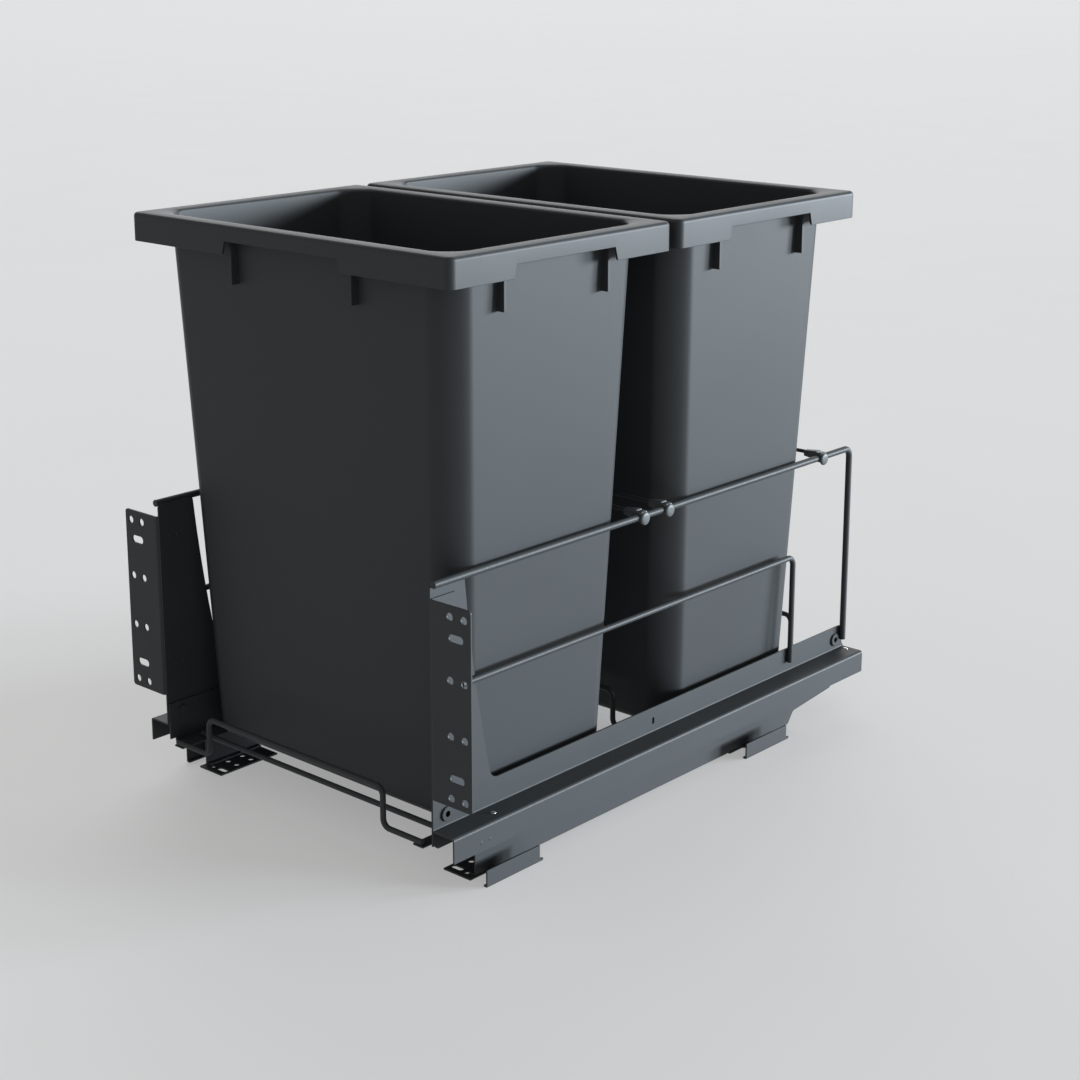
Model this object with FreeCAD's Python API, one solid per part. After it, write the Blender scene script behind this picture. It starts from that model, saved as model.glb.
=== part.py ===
import FreeCAD, Part
import math
import os

# Pull-out waste unit for a kitchen base cabinet: two lift-out bins in a steel
# carriage that rolls forward on a ball slide at each side.
# Millimetres. +Z up, front towards -Y, origin under the middle of the unit on
# the cabinet floor. Y sizes below are first counted back from the front face
# of the front bin's rim; at_y() moves them to the origin.

V = FreeCAD.Vector

# ---------------------------------------------------------------- bins
rim_width = 370.0          # rim, side to side
rim_depth = 255.8          # rim, front to back
bin_height = 458.0         # standing face to rim crown
bin_gap = 9.5              # between the two rims
bin_floor_z = 43.0         # height of the standing face
bin_wall = 2.2
rim_overhang = 14.8        # rim edge to body wall, at the top
rim_corner = 5.0
rim_edge_round = 3.5
rim_top_wall = 2.4
body_draft = 0.04          # wall lean, mm per mm
body_corner = 25.0
skirt_deep = 24.3          # below the crown, round the corners
skirt_shallow = 13.5       # below the crown, along the middles
skirt_mid_front = 65.6     # half length of the shallow part, front and back
skirt_mid_side = 56.9      # the same on the sides
skirt_step_run = 3.0       # slope at the ends of the shallow part
rib_thick = 2.8
rib_proud = 5.5            # from the wall at the crown
rib_drop = 50.0            # below the crown
rib_front = 70.0           # rib middle from the bin's middle, front and back
rib_side = 60.0            # the same on the sides

# ---------------------------------------------------------------- carriage
sheet = 1.5
bend = 1.0                 # inside radius of the folds
front_reach = 3.0          # side frames ahead of the front rim
rear_reach = 38.9          # side frames behind the rear rim
frame_inset = 21.3         # rim edge to the outer face of the side frame
flange_width = 22.4        # side frame face to skirt face
flange_z = 53.7            # top of the flange
skirt_drop = 20.7
strip_rise = 22.3          # strip above the flange
upright_top_z = 252.6
upright_width = 36.0
upright_sweep = 27.6       # how far the rear edge swings back on its way down
plate_width = 43.2
plate_z = (80.4, 242.0)
plate_leaf = 27.0          # side leaf, front to back
plate_hole_r = 3.25
plate_hole_cols = (21.5, 36.1)       # from the frame's face
plate_hole_rows = (7.2, 57.4, 102.3, 152.6)   # above the plate's lower edge
plate_slot_rows = (23.8, 136.1)
plate_slot = (15.0, 6.5)
top_wire_r = 3.0
lower_wire_r = 2.65
floor_wire_r = 2.4
top_wire_z = 253.2
lower_wire_z = 166.0
wire_bend = 8.0
wire_flats = 8             # sides of a wire's section
weld_gap = 0.05
lip_inner = 142.0          # half width between the floor lips
lip_nose = 11.0            # width of the lip's nose
lip_z = 37.5               # top of the floor lip
fence_rise_z = 73.0
fence_half = 107.0
fence_bend = 7.0

# ---------------------------------------------------------------- base
rail_clear = 1.8           # side frame face to rail web
foot_length = 65.5
foot_front = 33.5
rear_foot_front = 374.5
foot_inner = 138.0
rail_fold = 6.4            # width of the rail's fold on a foot
leg_height = 14.5
tongue_start = 20.5        # outer part of the foot plate, behind its front
foot_hole_r = 2.75
foot_hole_rows = (157.3, 145.7)
foot_hole_cols = (24.0, 40.5)        # behind the foot's front
rail_length = 496.0
rail_front = 40.0
travel = 460.0

# ---------------------------------------------------------------- slides
slide_length = 480.0
slide_mid_z = 40.5
slide_wall = 1.2
slide_height = 22.0
slide_depth = 13.0
race_gap = 2.2             # between two nested walls
ball_r = 1.5
ball_fit = 0.05
cage_wall = 0.6
cage_length = 215.0
balls_per_row = 3

# ---------------------------------------------------------------- worked out
unit_front = -front_reach - sheet
unit_rear = 2 * rim_depth + bin_gap + rear_reach
middle_y = (unit_front + unit_rear) / 2
frame_x = rim_width / 2 - frame_inset
skirt_x = frame_x + flange_width
rail_x = frame_x + rail_clear + sheet
strip_top_z = flange_z + strip_rise
bin_top_z = bin_floor_z + bin_height


def at_y(y):
    """Y in the part's frame for a distance behind the front rim."""
    return y - middle_y


def box(x, y, z):
    """Block between three (low, high) pairs, y counted from the front rim."""
    low = V(min(x), at_y(min(y)), min(z))
    return Part.makeBox(abs(x[1] - x[0]), abs(y[1] - y[0]), abs(z[1] - z[0]), low)


def cyl(r, length, start, axis):
    """Round bar or drill, start given with y counted from the front rim."""
    return Part.makeCylinder(r, length, V(start[0], at_y(start[1]), start[2]), axis)


def corner_edges(corners, place):
    """Closed outline from (a, b, radius) corners, placed in space by place(a, b)."""
    edges = []
    first = None
    last = None
    count = len(corners)
    for i, (a, b, r) in enumerate(corners):
        here = V(a, b, 0)
        to_prev = (V(*corners[i - 1][:2], 0) - here).normalize()
        to_next = (V(*corners[(i + 1) % count][:2], 0) - here).normalize()
        if r > 0:
            half = to_prev.getAngle(to_next) / 2
            run = r / math.tan(half)
            start = here + to_prev * run
            stop = here + to_next * run
            reach = r / math.sin(half) - r
            crown = here + (to_prev + to_next).normalize() * reach
        else:
            start = stop = here
        if last is not None and (start - last).Length > 1e-6:
            edges.append(Part.makeLine(place(last.x, last.y), place(start.x, start.y)))
        if r > 0:
            ends = [place(p.x, p.y) for p in (start, crown, stop)]
            edges.append(Part.Arc(*ends).toShape())
        if first is None:
            first = start
        last = stop
    edges.append(Part.makeLine(place(last.x, last.y), place(first.x, first.y)))
    return edges


def prism(corners, place, along):
    """Solid from an outline with rounded corners, pushed along a vector."""
    return Part.Face(Part.Wire(corner_edges(corners, place))).extrude(along)


def on_xz(y):
    """Placer for an outline drawn in X and Z at one distance behind the rim."""
    return lambda a, b: V(a, at_y(y), b)


def on_yz(x):
    """Placer for an outline drawn in Y and Z on one side plane."""
    return lambda a, b: V(x, at_y(a), b)


def on_xy(z):
    """Placer for an outline drawn in X and Y at one height."""
    return lambda a, b: V(a, at_y(b), z)


def folded(path, t, r):
    """Corners of a folded sheet's section: path is one face, t the wall to its left."""
    dirs = []
    for (a, b), (c, d) in zip(path, path[1:]):
        run = math.hypot(c - a, d - b)
        dirs.append(((c - a) / run, (d - b) / run))
    face = [(path[0][0], path[0][1], 0)]
    back = [(path[0][0] - dirs[0][1] * t, path[0][1] + dirs[0][0] * t, 0)]
    for (a, b), d0, d1 in zip(path[1:], dirs, dirs[1:]):
        turn = d0[0] * d1[1] - d0[1] * d1[0]
        face.append((a, b, r + t if turn > 0 else r))
        off_a = a - (d0[1] + d1[1]) * t
        off_b = b + (d0[0] + d1[0]) * t
        back.append((off_a, off_b, r if turn > 0 else r + t))
    a, b = path[-1]
    face.append((a, b, 0))
    back.append((a - dirs[-1][1] * t, b + dirs[-1][0] * t, 0))
    return face + back[::-1]


def wire_ring(r, start, ahead):
    """Section of a wire at its start: even flats at the wire's radius, one facing each axis."""
    along = (ahead - start).normalize()
    side = V(0, 0, 1) if abs(along.z) < 0.5 else V(1, 0, 0)
    other = along.cross(side)
    reach = r / math.cos(math.pi / wire_flats)
    corners = []
    for i in range(wire_flats + 1):
        a = math.pi * (2 * i + 1) / wire_flats
        corners.append(start + side * (reach * math.cos(a)) + other * (reach * math.sin(a)))
    return Part.makePolygon(corners)


def straight_rod(start, stop, r):
    """Straight wire between two points, y counted from the front rim."""
    a = V(start[0], at_y(start[1]), start[2])
    b = V(stop[0], at_y(stop[1]), stop[2])
    return Part.Face(wire_ring(r, a, b)).extrude(b - a)


def wire_rod(points, r, radius):
    """Round wire bent along points (y from the front rim) with one bend radius."""
    pts = [V(x, at_y(y), z) for x, y, z in points]
    edges = []
    last = pts[0]
    for before, here, after in zip(pts, pts[1:], pts[2:]):
        to_prev = (before - here).normalize()
        to_next = (after - here).normalize()
        half = to_prev.getAngle(to_next) / 2
        run = radius / math.tan(half)
        start = here + to_prev * run
        stop = here + to_next * run
        crown = here + (to_prev + to_next).normalize() * (radius / math.sin(half) - radius)
        edges.append(Part.makeLine(last, start))
        edges.append(Part.Arc(start, crown, stop).toShape())
        last = stop
    edges.append(Part.makeLine(last, pts[-1]))
    path = Part.Wire(edges)
    return path.makePipeShell([wire_ring(r, pts[0], pts[1])], True, False)


def ring_solid(rings):
    """Solid through stacked outlines of matching edges: flat walls, ruled corners."""
    faces = [Part.Face(Part.Wire(rings[0])), Part.Face(Part.Wire(rings[-1]))]
    for below, above in zip(rings, rings[1:]):
        for low, high in zip(below, above):
            if isinstance(low.Curve, Part.Line):
                ends = [low.Vertexes[0], low.Vertexes[1], high.Vertexes[1], high.Vertexes[0]]
                points = [v.Point for v in ends]
                faces.append(Part.Face(Part.makePolygon(points + points[:1])))
            else:
                faces.append(Part.makeRuledSurface(low, high))
    shell = Part.makeShell(faces)
    shell.sewShape()
    solid = Part.Solid(shell)
    return solid if solid.Volume > 0 else solid.reversed()


def mirrored(shape):
    """The same shape on the other side of the unit."""
    return shape.mirror(V(0, 0, 0), V(1, 0, 0))


# ================================================================ bins
def rounded_rect(half_x, front, rear, r, z):
    """Edges of a rounded rectangle at one height."""
    corners = [(-half_x, front, r), (half_x, front, r), (half_x, rear, r), (-half_x, rear, r)]
    return corner_edges(corners, on_xy(z))


def rounding(r):
    """Steps (in, up) that stand for a rounded edge of radius r, from its flat to its wall."""
    return [(r * (1 - math.sin(a)), r * (1 - math.cos(a))) for a in
            (math.radians(d) for d in (0, 30, 60, 90))]


def tapered_tub(front, inset_top, corner, z_low, z_top, edge_round):
    """Tapered block with rounded uprights and a rounded bottom edge."""
    levels = [(z_low + up, inward) for inward, up in rounding(edge_round)]
    levels.append((z_top, 0.0))
    rings = []
    for z, inward in levels:
        inset = inset_top + (bin_top_z - z) * body_draft + inward
        near = front + inset
        far = front + rim_depth - inset
        rings.append(rounded_rect(rim_width / 2 - inset, near, far, corner - inward, z))
    return ring_solid(rings)


def rim_and_skirt(front):
    """Rim plate with its hanging skirt, hollow below, stepped up along the middles."""
    rear = front + rim_depth
    half = rim_width / 2
    levels = [(bin_top_z - skirt_deep, 0.0)]
    for inward, up in rounding(rim_edge_round)[::-1]:
        levels.append((bin_top_z - up, inward))
    rings = []
    for z, inward in levels:
        rings.append(rounded_rect(half - inward, front + inward, rear - inward,
                                  rim_corner - inward, z))
    block = ring_solid(rings)
    w = bin_wall
    low = bin_top_z - skirt_deep - 1
    hollow = rounded_rect(half - w, front + w, rear - w, rim_corner - w, low)
    hollow = Part.Face(Part.Wire(hollow)).extrude(V(0, 0, skirt_deep + 1 - rim_top_wall))
    block = block.cut(hollow)
    step_z = bin_top_z - skirt_shallow
    m = skirt_mid_front
    run = skirt_step_run
    front_step = [(-m - run, low, 0), (-m, step_z, 0), (m, step_z, 0), (m + run, low, 0)]
    across = prism(front_step, on_xz(front - 1), V(0, rim_depth + 2, 0))
    mid = front + rim_depth / 2
    m = skirt_mid_side
    side_step = [(mid - m - run, low, 0), (mid - m, step_z, 0),
                 (mid + m, step_z, 0), (mid + m + run, low, 0)]
    along = prism(side_step, on_yz(-half - 1), V(rim_width + 2, 0, 0))
    return block.cut(across).cut(along)


def rib_profile(place_wall, sign):
    """Corners of one nesting rib: out from the wall, straight down and back in."""
    top = bin_top_z - rim_top_wall / 2
    out = place_wall - sign * rib_proud
    foot = bin_top_z - rib_drop
    inside = place_wall + sign * (body_draft * rib_drop + bin_wall / 2)
    return [(inside, top, 0), (out, top, 0), (out, foot, 0), (inside, foot, 0)]


def nesting_ribs(front):
    """Eight thin ribs under the rim that keep stacked bins from jamming."""
    ribs = []
    half = rim_width / 2 - rim_overhang
    near = front + rim_overhang
    far = front + rim_depth - rim_overhang
    for x in (-rib_front, rib_front):
        for wall, sign in ((near, 1), (far, -1)):
            place = on_yz(x - rib_thick / 2)
            ribs.append(prism(rib_profile(wall, sign), place, V(rib_thick, 0, 0)))
    for y in (-rib_side, rib_side):
        for wall, sign in ((half, -1), (-half, 1)):
            place = on_xz(front + rim_depth / 2 + y - rib_thick / 2)
            ribs.append(prism(rib_profile(wall, sign), place, V(0, rib_thick, 0)))
    return ribs


def make_bin(front):
    """One moulded bin: tapered tub, rim, stepped skirt and nesting ribs."""
    body = tapered_tub(front, rim_overhang, body_corner, bin_floor_z, bin_top_z - 1, 6.0)
    shell = body.fuse([rim_and_skirt(front)] + nesting_ribs(front))
    inset = rim_overhang + bin_wall
    inner_floor = bin_floor_z + bin_wall
    hollow = tapered_tub(front, inset, body_corner - bin_wall, inner_floor, bin_top_z + 1, 4.5)
    return shell.cut(hollow).removeSplitter()


# ================================================================ carriage
def upright_plate():
    """Side frame upright: square front, swept rear edge running into the strip."""
    front = -front_reach
    back = front + upright_width
    low = flange_z + strip_rise / 2
    top = upright_top_z
    drop = top - strip_top_z
    foot = back + upright_sweep
    place = on_yz(frame_x - sheet)
    round_front = 3.0
    pts = [place(front, low), place(front, top - round_front)]
    edges = [Part.makeLine(*pts)]
    edges.append(Part.Arc(place(front, top - round_front), place(front + 0.88, top - 0.88),
                          place(front + round_front, top)).toShape())
    edges.append(Part.makeLine(place(front + round_front, top), place(back - 2, top)))
    edges.append(Part.Arc(place(back - 2, top), place(back + 0.25, top - 0.85),
                          place(back + 1.2, top - 3)).toShape())
    edges.append(Part.Arc(place(back + 1.2, top - 3), place(back + 11.6, top - drop * 0.48),
                          place(foot, strip_top_z + 9)).toShape())
    edges.append(Part.Arc(place(foot, strip_top_z + 9), place(foot + 3.2, strip_top_z + 2.4),
                          place(foot + 10, strip_top_z)).toShape())
    edges.append(Part.makeLine(place(foot + 10, strip_top_z), place(foot + 10, low)))
    edges.append(Part.makeLine(place(foot + 10, low), pts[0]))
    return Part.Face(Part.Wire(edges)).extrude(V(sheet, 0, 0))


screw_y = (11.6, unit_rear - 15.5)
screw_z = flange_z + 10.1
screw_shank_r = 3.0
slot_y = rim_depth + bin_gap + 1.4
slot_half = (1.5, 3.0)     # half length and half height of the slot in the strip


def side_frame():
    """Right side frame: strip, flange and skirt folded from one sheet with the upright."""
    path = [(skirt_x, flange_z - skirt_drop), (skirt_x, flange_z),
            (frame_x, flange_z), (frame_x, strip_top_z)]
    section = folded(path, sheet, bend)
    length = unit_rear + front_reach
    frame = prism(section, on_xz(-front_reach), V(0, length, 0))
    frame = frame.fuse(upright_plate())
    end = [(unit_rear - 7, strip_top_z + 1, 0), (unit_rear - 1.5, flange_z + 2, 0),
           (unit_rear + 2, flange_z + 2, 0), (unit_rear + 2, strip_top_z + 1, 0)]
    frame = frame.cut(prism(end, on_yz(frame_x - sheet - 1), V(sheet + 2, 0, 0)))
    for y in screw_y:
        start = (frame_x - 5, y, screw_z)
        frame = frame.cut(cyl(screw_shank_r + weld_gap, 10, start, V(1, 0, 0)))
    along, up = slot_half
    slot = [(slot_y - along, screw_z - up, 1.4), (slot_y + along, screw_z - up, 1.4),
            (slot_y + along, screw_z + up, 1.4), (slot_y - along, screw_z + up, 1.4)]
    return frame.cut(prism(slot, on_yz(frame_x - 3), V(5, 0, 0))).removeSplitter()


def door_plate():
    """Right front plate: angle with four rows of holes and two slots for the door."""
    path = [(frame_x, plate_leaf + unit_front), (frame_x, unit_front),
            (frame_x + plate_width, unit_front)]
    low, high = plate_z
    plate = prism(folded(path, sheet, bend), on_xy(low), V(0, 0, high - low))
    tip = frame_x + plate_width - 0.01
    front_edges = [e for e in plate.Edges if e.BoundBox.XMin > tip and e.BoundBox.ZLength < 0.01]
    plate = plate.makeFillet(3.0, front_edges)
    y0 = unit_front - 1
    for dx in plate_hole_cols:
        for dz in plate_hole_rows:
            start = (frame_x + dx, y0, low + dz)
            plate = plate.cut(cyl(plate_hole_r, sheet + 2, start, V(0, 1, 0)))
    mid = frame_x + (plate_hole_cols[0] + plate_hole_cols[1]) / 2 - 1.0
    long, wide = plate_slot
    r = wide / 2 - 0.01
    for dz in plate_slot_rows:
        z = low + dz
        ends = [(mid - long / 2, z - wide / 2, r), (mid + long / 2, z - wide / 2, r),
                (mid + long / 2, z + wide / 2, r), (mid - long / 2, z + wide / 2, r)]
        plate = plate.cut(prism(ends, on_xz(y0), V(0, sheet + 2, 0)))
    return plate


def floor_runner():
    """Right floor runner: wall on the strip's inner face, lip turned in, nose ahead."""
    inner = frame_x - sheet
    path = [(lip_inner, lip_z), (inner - sheet, lip_z), (inner - sheet, strip_top_z - 4)]
    section = [(a, b, r) for a, b, r in folded(path, -sheet, bend)]
    nose_y = unit_front + 0.5
    runner = prism(section, on_xz(nose_y), V(0, unit_rear - 4 - nose_y, 0))
    x_cut = lip_inner + lip_nose
    notch = [(x_cut, nose_y - 1, 0), (inner + 5, nose_y - 1, 0), (inner + 5, 4.0, 0),
             (x_cut + 5, 4.0, 0), (x_cut, 9.0, 0)]
    runner = runner.cut(prism(notch, on_xy(lip_z - 10), V(0, 0, 12)))
    runner = runner.cut(box((x_cut, inner + 5), (nose_y - 1, -2.0), (lip_z - 10, strip_top_z)))
    for y in screw_y:
        start = (frame_x - 8, y, screw_z)
        runner = runner.cut(cyl(screw_shank_r + weld_gap, 12, start, V(1, 0, 0)))
    return runner.removeSplitter()


def ring_screw(y):
    """Flat-headed socket screw through the strip and the floor runner."""
    head = cyl(6.0, 1.8, (frame_x, y, screw_z), V(1, 0, 0))
    shank = cyl(screw_shank_r, 2 * sheet + 1, (frame_x - 2 * sheet - 1, y, screw_z), V(1, 0, 0))
    sides = []
    for i in range(6):
        a = math.radians(60 * i)
        sides.append((y + 2.4 * math.cos(a), screw_z + 2.4 * math.sin(a), 0))
    socket = prism(sides, on_yz(frame_x - 1.0), V(4, 0, 0))
    return head.fuse(shank).cut(socket)


def top_wire():
    """Right top wire: back along the bins, bent down on to the strip's end."""
    x = frame_x + top_wire_r + weld_gap
    rear = unit_rear - 6.0
    pts = [(x, -front_reach, top_wire_z), (x, rear, top_wire_z), (x, rear, screw_z - 1)]
    return wire_rod(pts, top_wire_r, wire_bend - top_wire_r)


lower_wire_span = (27.0, 467.0)


def lower_wire():
    """Right lower wire: from the upright back, bent down on to the strip."""
    x = frame_x + lower_wire_r + weld_gap
    front, rear = lower_wire_span
    pts = [(x, front, lower_wire_z), (x, rear, lower_wire_z), (x, rear, screw_z - 1)]
    return wire_rod(pts, lower_wire_r, wire_bend - lower_wire_r)


fence_y = (-2.0, rim_depth + bin_gap / 2 + 19.5, unit_rear - 7.0)
fence_end = lip_inner + lip_nose - 2.0


def floor_wire(y):
    """Cross wire on the floor lips with a raised middle that fences the bins."""
    z = lip_z + floor_wire_r + weld_gap
    up = fence_rise_z
    xz = [(-fence_end, z), (-fence_half, z), (-fence_half, up), (fence_half, up),
          (fence_half, z), (fence_end, z)]
    return wire_rod([(x, y, h) for x, h in xz], floor_wire_r, fence_bend)


bar_y = (rim_depth * 0.098, rim_depth * 0.298, rim_depth * 0.76,
         rim_depth * 1.3, rim_depth * 1.78)


def cross_bar(y):
    """Straight bar from lip to lip that the bins stand on."""
    z = lip_z + floor_wire_r + weld_gap
    return straight_rod((-fence_end, y, z), (fence_end, y, z), floor_wire_r)


rod_inset = 12.8           # a bin's rim edge to the rod beside its body
divider_y = (rim_depth - rod_inset, rim_depth + bin_gap + rod_inset - 2.1,
             2 * rim_depth + bin_gap - rod_inset - 2.3)
divider_z = top_wire_z + 2.8
divider_r = 1.75
clip_in = 149.5
clip_half = 4.2
knob_r = 5.9
knob_thick = 2.4
knob_drop = 2.3            # knob's middle below the wire's
wire_x = frame_x + top_wire_r + weld_gap


def divider_rod(y):
    """Thin cross rod between two clips."""
    end = clip_in + 9.0
    return straight_rod((-end, y, divider_z), (end, y, divider_z), divider_r)


def divider_clip(y):
    """Right end clip: tapered nose round the rod, saddle on the top wire, round knob."""
    z = divider_z - 0.8
    nose = []
    for x, half in ((clip_in, 2.9), (frame_x + 0.5, clip_half)):
        ring = [(y - half, z - half, 0), (y + half, z - half, 0),
                (y + half, z + half, 0), (y - half, z + half, 0)]
        nose.append(corner_edges(ring, on_yz(x)))
    body = ring_solid(nose)
    out = wire_x + top_wire_r + 0.6
    body = body.fuse(box((frame_x + 0.5, out), (y - clip_half, y + clip_half),
                         (z - 6.0, z + clip_half)))
    knob = (out - 0.4, y, top_wire_z - knob_drop)
    body = body.fuse(cyl(knob_r, knob_thick, knob, V(1, 0, 0)))
    fit = top_wire_r + weld_gap
    along = straight_rod((wire_x, y - 10, top_wire_z), (wire_x, y + 10, top_wire_z), fit)
    across = straight_rod((clip_in - 1, y, divider_z), (clip_in + 9, y, divider_z),
                          divider_r + weld_gap)
    return body.cut(along).cut(across).removeSplitter()


# ================================================================ base
feet_front = (foot_front, rear_foot_front)


def foot_holes(front, depth):
    """Drills for a foot: two rows of round holes, and at the front a small one and a slot."""
    drills = []
    for x in foot_hole_rows:
        for dy in foot_hole_cols:
            drills.append(cyl(foot_hole_r, depth, (x, front + dy, -1), V(0, 0, 1)))
    if front > foot_front:
        return drills
    drills.append(cyl(2.2, depth, (foot_hole_rows[0], front + 7.2, -1), V(0, 0, 1)))
    x = foot_hole_rows[1]
    slot = [(x - 6, front + 5.5, 2.74), (x + 6, front + 5.5, 2.74),
            (x + 6, front + 11, 2.74), (x - 6, front + 11, 2.74)]
    drills.append(prism(slot, on_xy(-1), V(0, 0, depth)))
    return drills


def foot_plate(front):
    """Right foot: perforated plate on the cabinet floor with an upturned outer leg."""
    rear = front + foot_length
    leg_x = skirt_x
    path = [(leg_x, leg_height), (leg_x, 0), (foot_inner, 0)]
    plate = prism(folded(path, -sheet, bend), on_xz(front), V(0, foot_length, 0))
    gap = [(rail_x + 0.5, front - 1, 0), (leg_x - 4, front - 1, 0),
           (leg_x - 4, front + tongue_start, 3), (rail_x + 0.5, front + tongue_start, 3)]
    plate = plate.cut(prism(gap, on_xy(-1), V(0, 0, sheet + 2)))
    trim = box((leg_x - 1.4 * sheet, leg_x + 1), (rear - 4, rear + 1),
               (sheet + bend, leg_height + 1))
    return plate.cut(trim).cut(foot_holes(front, 10))


def cabinet_rail():
    """Right fixed rail: upright web with a narrow fold standing on each foot."""
    top = slide_mid_z + slide_height / 2
    rear = rail_front + rail_length
    lift = 70.0
    web = [(rail_front, sheet, 0), (rear - lift, sheet, 3), (rear - lift + 8, sheet + 11, 6),
           (rear, sheet + 17, 3), (rear, top, 3), (rail_front, top, 3)]
    rail = prism(web, on_yz(rail_x - sheet), V(sheet, 0, 0))
    path = [(rail_x, sheet + 12), (rail_x, sheet), (rail_x - rail_fold, sheet)]
    section = folded(path, -sheet, bend)
    for front in feet_front:
        start = max(front, rail_front)
        length = front + foot_length - start
        edge = box((rail_x - sheet - 1, rail_x + 1), (start, start + length), (0, sheet + 6))
        rail = rail.cut(edge).fuse(prism(section, on_xz(start), V(0, length, 0)))
    return rail.removeSplitter()


# ================================================================ ball slides
half_h = slide_height / 2
step = slide_wall + race_gap
outer_ball_v = half_h - slide_wall - race_gap / 2
inner_ball_v = outer_ball_v - step
outer_race_u = 6.5
inner_race_u = 9.6
middle_u = 2.8
inner_u = 5.8
slide_y = rail_front + 2.0
inner_ahead = 22.0         # moving member ahead of the fixed one


def channel(u0, u1, half, wall, y0, length, web_far):
    """Channel section along Y, u out from the rail's face, web near or far."""
    z = slide_mid_z
    near, far = (u1, u0) if web_far else (u0, u1)
    path = [(rail_x + far, z + half), (rail_x + near, z + half),
            (rail_x + near, z - half), (rail_x + far, z - half)]
    side = -wall if web_far else wall
    return prism(folded(path, side, 0.4), on_xz(y0), V(0, length, 0))


def race(u, v, y0, length):
    """Groove cutters for a pair of ball rows: trapeziums sunk into the walls they meet."""
    deep = v + ball_r + ball_fit
    near = v + race_gap / 2 - 0.5
    rows = []
    for sign in (1, -1):
        for low, high in ((near, deep), (2 * v - near, 2 * v - deep)):
            mid_z = slide_mid_z
            shape = [(rail_x + u - 1.8, mid_z + sign * low, 0),
                     (rail_x + u + 1.8, mid_z + sign * low, 0),
                     (rail_x + u + 0.7, mid_z + sign * high, 0),
                     (rail_x + u - 0.7, mid_z + sign * high, 0)]
            rows.append(prism(shape, on_xz(y0 - 1), V(0, length + 2, 0)))
    return rows


def slide_outer():
    """Fixed member: channel on the rail's web with a raceway in each lip."""
    body = channel(0, slide_depth, half_h, slide_wall, slide_y, slide_length, False)
    return body.cut(race(outer_race_u, outer_ball_v, slide_y, slide_length))


def slide_middle():
    """Middle member: nested channel with raceways outside and inside."""
    y0 = slide_y + 2
    body = channel(middle_u, slide_depth - 0.4, half_h - step, slide_wall, y0,
                   slide_length - 4, False)
    body = body.cut(race(outer_race_u, outer_ball_v, y0, slide_length))
    return body.cut(race(inner_race_u, inner_ball_v, y0, slide_length))


def slide_inner():
    """Moving member: narrow channel fixed inside the side frame's skirt."""
    y0 = slide_y - inner_ahead
    wall_u = skirt_x - sheet - rail_x
    body = channel(inner_u, wall_u, half_h - 2 * step, slide_wall, y0, slide_length, True)
    return body.cut(race(inner_race_u, inner_ball_v, y0, slide_length))


cage_y = 168.0


def ball(place):
    """Ball with eighteen flats, its corners on the true sphere."""
    half = ball_r / 1.159
    block = Part.makeBox(2 * half, 2 * half, 2 * half, place - V(half, half, half))
    solid = block
    for axis in (V(1, 0, 0), V(0, 1, 0), V(0, 0, 1)):
        solid = solid.common(block.rotated(place, axis, 45))
    return solid


def ball_rows(u, v):
    """Balls of one cage, one row above and one below."""
    balls = []
    pitch = cage_length / balls_per_row
    for sign in (1, -1):
        for i in range(balls_per_row):
            along = at_y(cage_y + pitch * (i + 0.5))
            balls.append(ball(V(rail_x + u, along, slide_mid_z + sign * v)))
    return balls


def ball_cage(u_web, u_race, v):
    """Thin channel between two members with a window for every ball."""
    cage = channel(u_web, u_race + 2.6, v + cage_wall / 2, cage_wall, cage_y, cage_length, False)
    pitch = cage_length / balls_per_row
    half = ball_r + ball_fit
    x = rail_x + u_race
    for i in range(balls_per_row):
        y = cage_y + pitch * (i + 0.5)
        window = box((x - half, x + half), (y - half, y + half), (0, strip_top_z))
        cage = cage.cut(window)
    return cage


# ================================================================ write out
def save(name, shape):
    """One file for each node; a list is a group of separate solids."""
    if isinstance(shape, list):
        solids = [s for item in shape for s in item.Solids]
        shape = Part.makeCompound(solids)
    shape.exportStep("parts/" + name + ".step")


def save_pair(name, shape):
    """Right-hand shape and its mirror image on the left."""
    items = shape if isinstance(shape, list) else [shape]
    save(name + "_right", items if isinstance(shape, list) else shape)
    save(name + "_left", [mirrored(s) for s in items] if len(items) > 1 else mirrored(items[0]))


def both_sides(items):
    """A list of right-hand solids together with their mirror images."""
    return items + [mirrored(s) for s in items]


os.makedirs("parts", exist_ok=True)

save("front_bin", make_bin(0.0))
save("rear_bin", make_bin(rim_depth + bin_gap))

save_pair("cabinet_rail", cabinet_rail())
save_pair("front_foot", foot_plate(feet_front[0]))
save_pair("rear_foot", foot_plate(feet_front[1]))
save_pair("slide_outer", slide_outer())
save_pair("slide_middle", slide_middle())
save_pair("slide_inner", slide_inner())
save_pair("outer_ball_cage", ball_cage(1.7, outer_race_u, outer_ball_v))
save_pair("inner_ball_cage", ball_cage(4.5, inner_race_u, inner_ball_v))
save_pair("outer_balls", ball_rows(outer_race_u, outer_ball_v))
save_pair("inner_balls", ball_rows(inner_race_u, inner_ball_v))

save_pair("side_frame", side_frame())
save_pair("door_plate", door_plate())
save_pair("floor_runner", floor_runner())
save_pair("top_wire", top_wire())
save_pair("lower_wire", lower_wire())
save("ring_screws", both_sides([ring_screw(y) for y in screw_y]))
for name, y in zip(("front", "middle", "rear"), fence_y):
    save(name + "_floor_wire", floor_wire(y))
for i, y in enumerate(bar_y):
    save("cross_bar_%d" % (i + 1), cross_bar(y))
for i, y in enumerate(divider_y):
    save("divider_rod_%d" % (i + 1), divider_rod(y))
save("divider_clips", both_sides([divider_clip(y) for y in divider_y]))
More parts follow.
